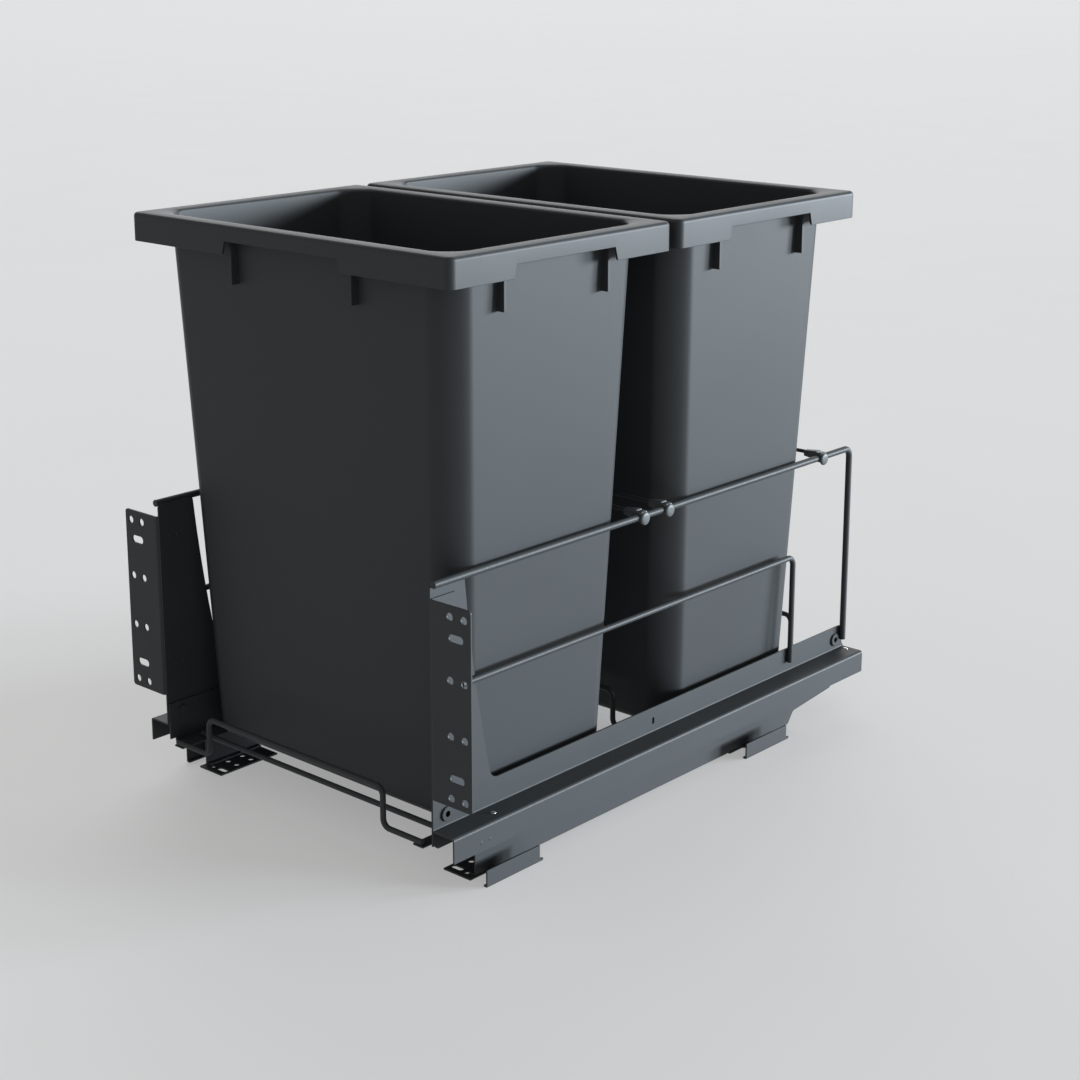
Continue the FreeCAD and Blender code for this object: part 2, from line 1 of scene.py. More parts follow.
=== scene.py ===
# %% [markdown]
# # A pull-out waste unit with two lift-out bins
# The unit is a folded steel carriage that rolls out of a kitchen cabinet on a
# ball slide at each side. Its exact solids come in as a fixed frame. The steps
# below give each of them its finish and swap the ones that need rounder or
# softer shapes: the moulded bins, the bent wires, the folded sheet, the screws,
# the clips and the balls. A few small rivets are added.

# %% Load the frame and keep its box
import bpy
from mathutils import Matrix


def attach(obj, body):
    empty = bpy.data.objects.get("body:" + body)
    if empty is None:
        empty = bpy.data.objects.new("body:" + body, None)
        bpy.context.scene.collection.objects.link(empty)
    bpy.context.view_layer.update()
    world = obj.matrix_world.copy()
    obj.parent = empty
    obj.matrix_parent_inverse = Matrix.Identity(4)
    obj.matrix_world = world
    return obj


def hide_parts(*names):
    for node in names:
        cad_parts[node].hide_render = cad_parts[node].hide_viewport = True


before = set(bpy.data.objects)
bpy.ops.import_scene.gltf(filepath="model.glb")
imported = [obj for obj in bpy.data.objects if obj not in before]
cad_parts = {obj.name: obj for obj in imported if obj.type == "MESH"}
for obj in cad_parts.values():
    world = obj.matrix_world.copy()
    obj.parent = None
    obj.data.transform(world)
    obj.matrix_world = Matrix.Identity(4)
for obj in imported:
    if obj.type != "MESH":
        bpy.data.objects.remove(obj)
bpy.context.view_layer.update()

import math

import bmesh
import bpy
from mathutils import Matrix, Vector

MM = 0.001

# %% [markdown]
# ## Where things are
# Sizes along the unit are counted back from the face of the front bin's rim,
# as on the bench, while the model's origin is under its middle. One helper
# turns a bench measure in millimetres into a place in metres, so the numbers
# further down can be read straight off the object. Another gives directions
# as a photographer would, by how far round and how high.

# %% From bench measures to places
MIDDLE_Y = 277.75      # rim face to the model's origin
X, Y, Z = Vector((1, 0, 0)), Vector((0, 1, 0)), Vector((0, 0, 1))
SIDES = ((1, "right"), (-1, "left"))


def spot(x, y, z):
    """Place in metres of a point measured in mm, y back from the front rim."""
    return Vector((x, y - MIDDLE_Y, z)) * MM


def heading(azimuth, height):
    """Direction seen from the object, in degrees: round from the front (-Y) towards +X, up."""
    a, h = math.radians(azimuth), math.radians(height)
    return Vector((math.sin(a) * math.cos(h), -math.cos(a) * math.cos(h), math.sin(h)))


frame_x = 163.7        # half width over the side frames
skirt_x = 186.1        # half width over the skirts
rear_y = 560.0         # rear end of the side frames
top_z = 501.0          # crown of the bins' rims
standing_z = 43.0      # underside of the bins
slide_z = 40.5         # middle of the ball slides
print("origin lies at", spot(0, 0, 0), "and the front is along", heading(0, 0))

# %% [markdown]
# ## Camera
# The photograph looks down a little from the front right corner with a long
# lens. The place, turn and lens below come from matching some sixty corners of
# the object. A level camera with a large shift would match the photograph
# best, but it would push the unit out of the picture in every other view. So
# this one dips, and a small shift takes up part of the lean of its upright
# lines.

# %% Camera at the photograph's angle
CAMERA_PLACE = (1.18582, -1.2973, 0.72519)     # metres
CAMERA_TURN, CAMERA_DIP = 41.89, 13.85         # degrees
SENSOR, LENS, SHIFT = 36.0, 67.47, -0.10       # mm, mm, parts of the picture's width

camera_data = bpy.data.cameras.new("studio_camera")
camera_data.sensor_width, camera_data.lens, camera_data.shift_y = SENSOR, LENS, SHIFT
camera_data.clip_start, camera_data.clip_end = 0.05, 200.0
camera = bpy.data.objects.new("studio_camera", camera_data)
bpy.context.scene.collection.objects.link(camera)
camera.location = CAMERA_PLACE
aim = -heading(CAMERA_TURN, CAMERA_DIP)
camera.rotation_euler = aim.to_track_quat("-Z", "Y").to_euler()
bpy.context.scene.camera = camera
print("camera looks along", tuple(round(v, 3) for v in aim))

# %% [markdown]
# ## Light
# The right-hand faces are several times brighter than the front ones, with a
# crisp line between them, while surfaces that face up stay dark. So the main
# light comes in almost level, from the right and a little behind. It is split
# into two narrow lamps side by side. Each keeps edges and wire shadows crisp,
# and the pair makes every shadow a double one, so that none is black. Wide area
# lamps were the other choice, but they would wash over the corners and reach
# only part of the floor. A weak, wide lamp behind on the left lifts the insides
# of the bins.

# %% Low side lights and a weak back light
SIDE_AZIMUTHS = (128, 147)     # degrees round from the front
SIDE_HEIGHT, SIDE_WIDTH, SIDE_STRENGTH = 3, 15, 6.3
BACK_AZIMUTH, BACK_HEIGHT, BACK_WIDTH, BACK_STRENGTH = 222, 24, 50, 1.0
COOL_WHITE, PALE_WHITE = (0.83, 0.925, 1.0), (0.96, 0.98, 1.0)


def sun(name, azimuth, height, width, strength, colour):
    """Distant light; its disc is this many degrees wide."""
    lamp = bpy.data.lights.new(name, "SUN")
    lamp.energy, lamp.angle, lamp.color = strength, math.radians(width), colour
    holder = bpy.data.objects.new(name, lamp)
    bpy.context.scene.collection.objects.link(holder)
    holder.rotation_euler = heading(azimuth, height).to_track_quat("Z", "Y").to_euler()


for azimuth in SIDE_AZIMUTHS:
    sun("side_light_%d" % azimuth, azimuth, SIDE_HEIGHT, SIDE_WIDTH, SIDE_STRENGTH, COOL_WHITE)
sun("back_light", BACK_AZIMUTH, BACK_HEIGHT, BACK_WIDTH, BACK_STRENGTH, PALE_WHITE)
bpy.context.scene.view_settings.view_transform = "Standard"

# %% [markdown]
# ## Colours and nodes
# Paint makers quote colours as sRGB hex codes, but Blender's sockets want
# linear light. One function converts. One more adds a shader node together
# with its settings and links, so every material below reads as a short list.

# %% Helpers for colours and nodes
def hex_colour(code):
    """sRGB hex code to linear RGBA."""
    values = [int(code[i:i + 2], 16) / 255 for i in (1, 3, 5)]
    linear = [v / 12.92 if v <= 0.04045 else ((v + 0.055) / 1.055) ** 2.4 for v in values]
    return (*linear, 1.0)


def add(tree, kind, values=None, **settings):
    """New node: values fill input sockets with constants or with output sockets."""
    node = tree.nodes.new("ShaderNode" + kind)
    for key, value in settings.items():
        setattr(node, key, value)
    for key, value in (values or {}).items():
        if isinstance(value, bpy.types.NodeSocket):
            tree.links.new(value, node.inputs[key])
        else:
            node.inputs[key].default_value = value
    return node


print("mid grey in linear light:", hex_colour("#808080"))

# %% [markdown]
# Every material starts from an empty tree. Its colour always wanders a little
# between two hex codes, because no moulding, coating or plating is quite even.
# The scale of each pattern is worked out from its real size in millimetres.

# %% Helpers that every material uses
def blank_material(name):
    """Material with an empty tree, its output and its Principled shader."""
    material = bpy.data.materials.new(name)
    material.use_nodes = True
    tree = material.node_tree
    tree.nodes.clear()
    shader = add(tree, "BsdfPrincipled")
    output = add(tree, "OutputMaterial", {"Surface": shader.outputs["BSDF"]})
    output.location = (300, 0)
    return material, tree, shader


def per_mm(size):
    """Noise scale for a pattern whose blotches are about this many mm across."""
    return 1.0 / (size * MM)


def wander(tree, noise, dark, light):
    """Colour that wanders between two hex codes as a noise rises and falls."""
    tone = add(tree, "Mix", {"Factor": noise.outputs["Fac"], "A": hex_colour(dark),
                             "B": hex_colour(light)}, data_type="RGBA")
    return tone.outputs["Result"]


def spread(tree, noise, margin, low, high):
    """Value from low to high, over the middle of a noise's range."""
    ranged = add(tree, "MapRange", {"Value": noise.outputs["Fac"], "From Min": margin,
                                    "From Max": 1.0 - margin, "To Min": low, "To Max": high})
    return ranged.outputs["Result"]


def relief(tree, noise, strength, depth):
    """Bumped normal, for a relief of this many mm."""
    bump = add(tree, "Bump", {"Height": noise.outputs["Fac"], "Strength": strength,
                              "Distance": depth * MM})
    return bump.outputs["Normal"]


def connect(tree, shader, colour, roughness, normal):
    """Join the three patterns of a surface to its shader."""
    for socket, source in (("Base Color", colour), ("Roughness", roughness),
                           ("Normal", normal)):
        tree.links.new(source, shader.inputs[socket])


print("a pattern of 1 mm has scale", per_mm(1))

# %% [markdown]
# ## Surround and floor
# The unit stands on a wide, matt, pale floor in an even, pale surround. A
# studio floor also gets light from walls and ceiling that aren't modelled. The
# low lamps hardly reach it, so a faint glow of its own stands for that light.
# It keeps the floor pale and the shadows on it soft.

# %% Surround and floor
SURROUND_STRENGTH, FLOOR_GLOW, FLOOR_HALF = 0.52, 0.32, 60     # -, -, metres

world = bpy.data.worlds.new("pale_surround")
bpy.context.scene.world = world
world.use_nodes = True
background = world.node_tree.nodes["Background"]
background.inputs["Color"].default_value = hex_colour("#fbfaf8")
background.inputs["Strength"].default_value = SURROUND_STRENGTH

floor_paint, tree, shader = blank_material("matt_floor_paint")
place = add(tree, "TexCoord").outputs["Object"]
cloud = add(tree, "TexNoise", {"Vector": place, "Scale": per_mm(300)})
tree.links.new(wander(tree, cloud, "#a6a6a6", "#ababab"), shader.inputs["Base Color"])
shader.inputs["Roughness"].default_value = 0.85
shader.inputs["Emission Color"].default_value = hex_colour("#ffffff")
shader.inputs["Emission Strength"].default_value = FLOOR_GLOW

floor_mesh = bpy.data.meshes.new("floor")
bm = bmesh.new()
bmesh.ops.create_grid(bm, x_segments=1, y_segments=1, size=FLOOR_HALF)
bm.to_mesh(floor_mesh)
bm.free()
floor = bpy.data.objects.new("floor", floor_mesh)
floor_mesh.materials.append(floor_paint)
bpy.context.scene.collection.objects.link(floor)
print("floor is", 2 * FLOOR_HALF, "m wide")

# %% [markdown]
# ## Moulded polypropylene: the bins
# Kitchen bins of this kind are injection moulded in polypropylene coloured
# right through. The steel mould is spark eroded, which leaves a fine even
# grain. The real grain is about 0.2 mm, too fine to show, so it is drawn a few
# times coarser and very shallow. Slow changes of colour and gloss stand for the
# melt's flow. The clips and ball cages are acetal, smoother and paler, so they
# come from the same function with other sizes.

# %% Moulded plastics
def moulded_plastic(name, dark, light, roughness, grain_mm, depth, flow_mm):
    """Plastic with a moulded grain, and slow changes of colour and gloss."""
    material, tree, shader = blank_material(name)
    place = add(tree, "TexCoord").outputs["Object"]
    flow = add(tree, "TexNoise", {"Vector": place, "Scale": per_mm(flow_mm), "Detail": 3.0})
    grain = add(tree, "TexNoise", {"Vector": place, "Scale": per_mm(grain_mm), "Detail": 4.0,
                                   "Roughness": 0.6})
    connect(tree, shader, wander(tree, flow, dark, light),
            spread(tree, flow, 0.3, roughness - 0.035, roughness + 0.035),
            relief(tree, grain, 0.35, depth))
    shader.inputs["IOR"].default_value = 1.49
    shader.inputs["Specular IOR Level"].default_value = 0.2
    return material


bin_plastic = moulded_plastic("moulded_polypropylene", "#2a2c2e", "#2f3234",
                              roughness=0.5, grain_mm=1.1, depth=0.12, flow_mm=160)
clip_plastic = moulded_plastic("moulded_acetal_grey", "#484b4d", "#505355",
                               roughness=0.42, grain_mm=0.8, depth=0.05, flow_mm=25)
cage_plastic = moulded_plastic("moulded_acetal_natural", "#d6d4cb", "#e2e0d8",
                               roughness=0.4, grain_mm=0.8, depth=0.05, flow_mm=30)
print("plastics:", bin_plastic.name, clip_plastic.name, cage_plastic.name)

# %% [markdown]
# ## Powder-coated steel: the carriage, feet and wires
# The folded parts and wires are blasted mild steel with a baked powder coat.
# Seen close, such a coat has a soft orange peel with waves of about 1.5 mm,
# and it lies thinner and glossier here and there. The paint hides the metal, so
# the shader stays a dielectric. Very small specks break up the highlight.

# %% Powder-coated steel
powder_coat, tree, shader = blank_material("powder_coated_steel")
place = add(tree, "TexCoord").outputs["Object"]
patch = add(tree, "TexNoise", {"Vector": place, "Scale": per_mm(70), "Detail": 3.0})
speck = add(tree, "TexNoise", {"Vector": place, "Scale": per_mm(0.9), "Detail": 2.0})
peel = add(tree, "TexNoise", {"Vector": place, "Scale": per_mm(1.6), "Detail": 1.5,
                              "Roughness": 0.4})
connect(tree, shader, wander(tree, patch, "#2a2c2e", "#313436"),
        spread(tree, speck, 0.35, 0.48, 0.58), relief(tree, peel, 0.4, 0.08))
shader.inputs["IOR"].default_value = 1.5
shader.inputs["Specular IOR Level"].default_value = 0.22
print("coating:", powder_coat.name)

# %% [markdown]
# ## Zinc-plated and polished steel: slides, rivets and balls
# Slide members are rolled from bright zinc-plated strip. Rolling draws fine
# lines along the length, here along Y, so the noise is stretched that way with
# a Mapping node. The balls are hardened and polished, almost a mirror, with
# only a film of grease to dull them.

# %% Bright metals
CLOUD_MM = 18      # width of the plating's cloudy patches


def bright_steel(name, dark, light, low, high, stretch, line_mm, depth):
    """Bare metal, roughness from low to high; a stretch under 1 draws lines along Y."""
    material, tree, shader = blank_material(name)
    place = add(tree, "TexCoord").outputs["Object"]
    drawn = add(tree, "Mapping", {"Vector": place, "Scale": (1.0, stretch, 1.0)})
    lines = add(tree, "TexNoise", {"Vector": drawn.outputs["Vector"], "Scale": per_mm(line_mm),
                                   "Detail": 3.0})
    cloud = add(tree, "TexNoise", {"Vector": place, "Scale": per_mm(CLOUD_MM), "Detail": 2.0})
    connect(tree, shader, wander(tree, cloud, dark, light), spread(tree, lines, 0.3, low, high),
            relief(tree, lines, 0.3, depth))
    shader.inputs["Metallic"].default_value = 1.0
    return material


zinc_steel = bright_steel("zinc_plated_steel", "#a9adb1", "#bfc3c6",
                          low=0.26, high=0.4, stretch=0.04, line_mm=1.0, depth=0.02)
ball_steel = bright_steel("polished_ball_steel", "#c6c8ca", "#d2d4d5",
                          low=0.1, high=0.18, stretch=1.0, line_mm=0.8, depth=0.004)
print("bright metals:", zinc_steel.name, ball_steel.name)

# %% [markdown]
# ## A finish for every solid
# Each solid's name says what it is, so a short list of name parts is enough to
# pick its finish. What the list doesn't name is powder-coated.

# %% Give every solid of the frame its finish
FINISHES = (("_bin", bin_plastic), ("clips", clip_plastic), ("ball_cage", cage_plastic),
            ("balls", ball_steel), ("slide_", zinc_steel))
for name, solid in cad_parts.items():
    finish = next((kind for part, kind in FINISHES if part in name), powder_coat)
    solid.data.materials.clear()
    solid.data.materials.append(finish)
print("solids with a finish:", len(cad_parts))

# %% [markdown]
# ## From a bmesh to a piece
# Every new piece ends the same way: doubles merged, normals pointed outwards,
# faces smooth, and a narrow bevel on each hard edge, because no real sheet or
# moulding has a perfectly sharp one and it is the eased edge that catches the
# light. Weighted normals keep the wide faces flat beside it. Then the piece
# rides on its body and takes the place of its solid.

# %% Turn a bmesh into a piece of the object
MERGE = 0.002 * MM     # points nearer than this are one point
HARD_ANGLE = math.radians(35)


def make_piece(bm, name, body, material, ease=0.0, stands_for=()):
    """Object from a bmesh, with edges eased by this many mm, riding on a body."""
    bmesh.ops.remove_doubles(bm, verts=bm.verts, dist=MERGE)
    bmesh.ops.recalc_face_normals(bm, faces=bm.faces)
    for face in bm.faces:
        face.smooth = True
    mesh = bpy.data.meshes.new(name)
    bm.to_mesh(mesh)
    bm.free()
    mesh.materials.append(material)
    piece = bpy.data.objects.new(name, mesh)
    bpy.context.scene.collection.objects.link(piece)
    if ease:
        soft = piece.modifiers.new("eased_edges", "BEVEL")
        soft.width, soft.segments = ease * MM, 2
        soft.limit_method, soft.angle_limit = "ANGLE", HARD_ANGLE
        flat = piece.modifiers.new("flat_faces", "WEIGHTED_NORMAL")
        flat.mode, flat.weight = "FACE_AREA", 100
    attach(piece, body)
    if stands_for:
        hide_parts(*stands_for)
    return piece


print("edges sharper than", round(math.degrees(HARD_ANGLE)), "degrees are eased")

# %% [markdown]
# ## The bins
# A bin is one wall all the way: out from under the floor, up the tapered side,
# out under the rim, down and up the hanging skirt, over the crown and down the
# inside. The profile is a list of rounded rectangles at rising and falling
# heights, joined ring to ring with bridge_loops. That keeps the moulding's own
# soft turns, which a box with its edges cut would not have.
#
# In the photograph the light turns sharply where a bin's front meets its side,
# faster than on a true quarter round of this size. So the wide corners are
# bevelled a little flatter, with a profile of 0.4 in place of 0.5. A profile of
# 0.5 on a smaller corner was the other choice, but the corners' outline needs
# this size.

# %% Rings of the bin's wall
rim_half, rim_depth = 185.0, 255.8         # half width and depth over the rim, mm
wall, overhang = 2.2, 14.8                 # rim's edge to the body's wall, at the top
lean = 0.04                                # of the wall, mm per mm
body_corner, rim_corner = 25.0, 6.5
skirt_low = 24.3                           # skirt under the crown, at the corners
rim_top_wall = 2.4
under_round, edge_round, inside_round = 6.0, 3.2, 4.5
turn_gap = 0.5                             # between two rings at a sharp turn
edge_below, mouth_below = 0.35, 2.6        # ends of the crown's slope, under the top
crown = ((0.1, 6.0, 4.0), (0.0, 9.0, 8.0), (0.1, 12.0, 14.0),
         (0.4, 14.6, 20.4), (1.1, 16.2, 22.0))     # (below the top, inset, corner)
TRUE_ROUND, FLATTER, WIDE_CORNER = 0.5, 0.4, 13.0


def rounded_ring(bm, inset, corner, z):
    """Face with a rounded outline, inset from the rim's edge; all in mm."""
    old = set(bm.faces)
    verts = bmesh.ops.create_grid(bm, x_segments=1, y_segments=1, size=1.0)["verts"]
    size = (rim_half - inset, rim_depth / 2 - inset, 0)
    bmesh.ops.scale(bm, vec=size, verts=verts)
    bmesh.ops.translate(bm, vec=(0, rim_depth / 2, z), verts=verts)
    bmesh.ops.bevel(bm, geom=verts, offset=corner, offset_type="OFFSET", segments=8,
                    profile=FLATTER if corner > WIDE_CORNER else TRUE_ROUND,
                    affect="VERTICES", material=-1)
    return next(face for face in bm.faces if face not in old)


def quarter(radius, steps):
    """(in, up) along a quarter round, from its flat to its wall."""
    angles = [math.radians(90 * i / steps) for i in range(steps + 1)]
    return [(radius * (1 - math.sin(a)), radius * (1 - math.cos(a))) for a in angles]


def body_inset(z):
    """Rim's edge to the outside of the leaning wall."""
    return overhang + (top_z - z) * lean


def bin_profile():
    """(z, inset, corner) of each ring, from under the floor to the inside floor."""
    rings = []
    for inward, up in quarter(under_round, 5):
        z = standing_z + up
        rings.append((z, body_inset(z) + inward, body_corner - inward))
    under, hem = top_z - rim_top_wall, top_z - skirt_low
    rings += [(under, body_inset(under), body_corner),
              (under + turn_gap, wall, rim_corner - wall),
              (hem + turn_gap, wall, rim_corner - wall),
              (hem, 0, rim_corner)]
    for inward, up in quarter(edge_round, 5)[::-1]:
        rings.append((top_z - edge_below - up, inward, rim_corner - inward * 0.9))
    rings += [(top_z - below, inset, corner) for below, inset, corner in crown]
    mouth = top_z - mouth_below
    rings.append((mouth, body_inset(mouth) + wall, body_corner - wall))
    for inward, up in quarter(inside_round, 4)[::-1]:
        z = standing_z + wall + up
        rings.append((z, body_inset(z) + wall + inward, body_corner - wall - inward))
    return rings


print("rings in a bin's profile:", len(bin_profile()))

# %% [markdown]
# The skirt hangs lower at the corners than along the middles. The hanging strip
# is cut with planes where each step starts and ends, and the bottom edge of
# the middle stretches is then simply lifted.

# %% Step the skirt
step_x, step_y = 65.6, 56.9        # half lengths of the shallow stretches
step_run, step_lift = 3.0, 10.8    # length and height of the slope at their ends
skirt_reach = 4.0                  # the skirt lies this near to the rim's edge
hair = 0.1                         # margin when a place is compared


def at_hem(v):
    """Whether a vertex is on the lower edge of the hanging skirt."""
    return top_z - skirt_low - hair < v.co.z < top_z - skirt_low + turn_gap + hair and (
        abs(v.co.x) > rim_half - skirt_reach
        or abs(v.co.y - rim_depth / 2) > rim_depth / 2 - skirt_reach)


def step_skirt(bm):
    """Cut the skirt where its steps are, then lift the middles of its lower edge."""
    strip = list({face for v in bm.verts if at_hem(v) for face in v.link_faces})
    cuts = [(side * x, X) for side in (-1, 1) for x in (step_x, step_x + step_run)]
    cuts += [(rim_depth / 2 + side * y, Y) for side in (-1, 1)
             for y in (step_y, step_y + step_run)]
    for place, normal in cuts:
        around = set(strip)
        for face in strip:
            around.update(face.edges)
            around.update(face.verts)
        done = bmesh.ops.bisect_plane(bm, geom=list(around), plane_co=normal * place,
                                      plane_no=normal)
        strip = [g for g in done["geom"] if isinstance(g, bmesh.types.BMFace)]
    for v in bm.verts:
        along = abs(v.co.y - rim_depth / 2)
        at_end = along > rim_depth / 2 - skirt_reach
        middle = abs(v.co.x) < step_x + hair if at_end else along < step_y + hair
        if at_hem(v) and middle:
            v.co.z += step_lift


print("skirt hangs", skirt_low, "mm at the corners,", round(skirt_low - step_lift, 1), "between")

# %% [markdown]
# Eight thin ribs stand between the wall and the skirt. They stop stacked bins
# from wedging together, and their tips show as small tabs under the rim, where
# the skirt steps down. Each is a cube drawn to size, with its back edge set
# into the leaning wall.

# %% Nesting ribs
rib_thick, rib_tip = 2.8, 9.3                  # tip's place in from the rim's edge
rib_root_low, rib_root_high = 17.9, 15.9       # the root follows the leaning wall
rib_low, rib_high = -50.0, -2.2                # heights from the crown
rib_x, rib_y = 70.0, 60.0                      # ribs from the middle of each side


def nesting_rib(bm, x, y, turn_by):
    """Rib on the wall under the rim's edge at (x, y), turned about Z to face out."""
    verts = bmesh.ops.create_cube(bm, size=1.0)["verts"]
    for v in verts:
        out, low = v.co.y < 0, v.co.z < 0
        v.co.x *= rib_thick
        v.co.y = rib_tip if out else (rib_root_low if low else rib_root_high)
        v.co.z = rib_low if low else rib_high
    bmesh.ops.rotate(bm, cent=(0, 0, 0), matrix=Matrix.Rotation(turn_by, 3, "Z"), verts=verts)
    bmesh.ops.translate(bm, vec=(x, y, top_z), verts=verts)


print("a rib is", round(rib_high - rib_low, 1), "mm high")

# %% [markdown]
# Both bins come from one mould, so one function makes them. It works in
# millimetres from the rim's front face and scales the result down last,
# because Blender's mesh tools are unsure where gaps are only microns wide.

# %% Put a bin together
def make_bin(name, front):
    """Bin whose rim's face is this many mm behind the front one."""
    bm = bmesh.new()
    profile = bin_profile()
    last = None
    for i, (z, inset, corner) in enumerate(profile):
        face = rounded_ring(bm, inset, corner, z)
        edges = list(face.edges)
        if 0 < i < len(profile) - 1:
            bmesh.ops.delete(bm, geom=[face], context="FACES_ONLY")
        if last:
            bmesh.ops.bridge_loops(bm, edges=last + edges)
        last = edges
    step_skirt(bm)
    for x in (-rib_x, rib_x):
        nesting_rib(bm, x, 0, 0)
        nesting_rib(bm, x, rim_depth, math.pi)
    for y in (rim_depth / 2 - rib_y, rim_depth / 2 + rib_y):
        nesting_rib(bm, rim_half, y, math.pi / 2)
        nesting_rib(bm, -rim_half, y, -math.pi / 2)
    bmesh.ops.scale(bm, vec=(MM, MM, MM), verts=bm.verts)
    bmesh.ops.translate(bm, vec=spot(0, front, 0), verts=bm.verts)
    return make_piece(bm, name + "_moulding", name, bin_plastic, 0.5, [name])


for name, front in (("front_bin", 0.0), ("rear_bin", 265.3)):
    shell = make_bin(name, front)
    print(shell.name, "faces:", len(shell.data.polygons))

# %% [markdown]
# ## The wires
# The side rails, fences and cross bars are drawn steel wire, cut, bent round a
# former and welded. A curve with a bevel would give the same tube, but its
# bends would have to be fitted by eye. Here a circle of points is pushed along
# each straight run with extrude, and swung round each bend with spin, just as
# the bender does. The ends are closed and eased.

# %% Bend a wire
WIRE_SIDES, BEND_STEPS = 16, 8


def push(bm, edges, step):
    """Extrude an open ring of edges by a step, and return its new end."""
    new = bmesh.ops.extrude_edge_only(bm, edges=edges)["geom"]
    verts = [g for g in new if isinstance(g, bmesh.types.BMVert)]
    bmesh.ops.translate(bm, vec=step, verts=verts)
    return [g for g in new if isinstance(g, bmesh.types.BMEdge) and g.is_boundary]


def bent_wire(bm, points, radius, bend=0.0):
    """Round wire through points in mm, with one bend radius to its middle line."""
    path = [spot(*p) for p in points]
    ahead = (path[1] - path[0]).normalized()
    turn_to = ahead.to_track_quat("Z", "Y").to_matrix().to_4x4()
    ring = bmesh.ops.create_circle(bm, cap_ends=True, segments=WIRE_SIDES, radius=radius * MM,
                                   matrix=Matrix.Translation(path[0]) @ turn_to)["verts"]
    edges = list({e for v in ring for e in v.link_edges if e.is_boundary})
    here = path[0]
    for before, corner, after in zip(path, path[1:], path[2:]):
        came, goes = (corner - before).normalized(), (after - corner).normalized()
        angle = came.angle(goes)
        run = bend * MM * math.tan(angle / 2)
        edges = push(bm, edges, corner - came * run - here)
        side = (goes - came * goes.dot(came)).normalized()
        centre = corner - came * run + side * bend * MM
        verts = list({v for e in edges for v in e.verts})
        swung = bmesh.ops.spin(bm, geom=verts + edges, cent=centre, axis=came.cross(goes),
                               angle=angle, steps=BEND_STEPS)["geom_last"]
        edges = [g for g in swung if isinstance(g, bmesh.types.BMEdge)]
        here = corner + goes * run
    edges = push(bm, edges, path[-1] - here)
    bmesh.ops.holes_fill(bm, edges=edges, sides=0)


def wire_piece(name, points, radius, bend=0.0):
    """One wire of the carriage, in place of the solid of that name."""
    bm = bmesh.new()
    bent_wire(bm, points, radius, bend)
    make_piece(bm, name + "_drawn", "carriage", powder_coat, 0.3, [name])


print("a wire has", WIRE_SIDES, "sides")

# %% [markdown]
# Two wires a side keep the bins in. Each starts on the upright of the side
# frame, runs back and bends down on to its strip. The welds are left as a hair
# of a gap, which no view shows.

# %% The side rails' wires
weld_gap = 0.05
top_wire_r, lower_wire_r, side_bend = 3.0, 2.65, 8.0
top_wire_y, top_wire_z = (-3.0, rear_y - 6), 253.2
lower_wire_y, lower_wire_z = (27.0, 467.0), 166.0
wire_foot_z = 62.8

for side, label in SIDES:
    for name, (start, end), z, radius in (
            ("top_wire_", top_wire_y, top_wire_z, top_wire_r),
            ("lower_wire_", lower_wire_y, lower_wire_z, lower_wire_r)):
        x = side * (frame_x + radius + weld_gap)
        wire_piece(name + label, [(x, start, z), (x, end, z), (x, end, wire_foot_z)],
                   radius, side_bend)

# %% [markdown]
# Three floor wires rise in the middle into low fences before, between and
# behind the bins. Five straight bars carry the bins, and thin straight rods
# cross from clip to clip higher up.

# %% Floor wires, bars and rods
floor_wire_r, rod_r, fence_bend = 2.4, 1.75, 7.0
lip_end, fence_half, rod_end = 151.0, 107, 158.5       # half lengths
low, high, rod_z = 39.95, 73.0, 256.0
bar_y = (25.07, 76.23, 194.4, 332.54, 455.32)
divider_y = (243.0, 276.0, 506.0)

for label, y in (("front", -2.0), ("middle", 280.15), ("rear", 553.0)):
    line = [(-lip_end, y, low), (-fence_half, y, low), (-fence_half, y, high),
            (fence_half, y, high), (fence_half, y, low), (lip_end, y, low)]
    wire_piece(label + "_floor_wire", line, floor_wire_r, fence_bend)
for i, y in enumerate(bar_y):
    wire_piece("cross_bar_%d" % (i + 1), [(-lip_end, y, low), (lip_end, y, low)], floor_wire_r)
for i, y in enumerate(divider_y):
    wire_piece("divider_rod_%d" % (i + 1), [(-rod_end, y, rod_z), (rod_end, y, rod_z)], rod_r)

# %% [markdown]
# ## Folded sheet
# The side frames, door plates, runners, rails and feet are punched flat and
# folded. Their solids already have the right folds, holes and slots. A merged
# copy gets a fine bevel on its cut edges, as a deburred and coated sheet has,
# so that the edges show as thin bright lines.

# %% Ease the edges of the folded parts
SHEET_EASE = 0.3                       # mm
SAME_PLANE = math.radians(0.6)         # faces that meet flatter than this are one


def eased_copy(node, body):
    """Copy of a folded solid with whole faces and eased edges."""
    bm = bmesh.new()
    bm.from_mesh(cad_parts[node].data)
    bmesh.ops.remove_doubles(bm, verts=bm.verts, dist=MERGE)
    bmesh.ops.dissolve_limit(bm, angle_limit=SAME_PLANE, verts=bm.verts, edges=bm.edges)
    make_piece(bm, node + "_folded", body, powder_coat, SHEET_EASE, [node])


for side, label in SIDES:
    for node in ("side_frame", "door_plate", "floor_runner"):
        eased_copy(node + "_" + label, "carriage")
    for node in ("front_foot", "rear_foot", "cabinet_rail"):
        eased_copy(node + "_" + label, "base")

# %% [markdown]
# ## Turned and headed parts
# Screws and rivets are round, so each is a short profile spun once round its
# own axis. A cylinder with bevelled ends would do for the rivets, but the
# profile also gives shanks, heads and domes of any shape.

# %% Spin a small round part
ROUND_SIDES = 24


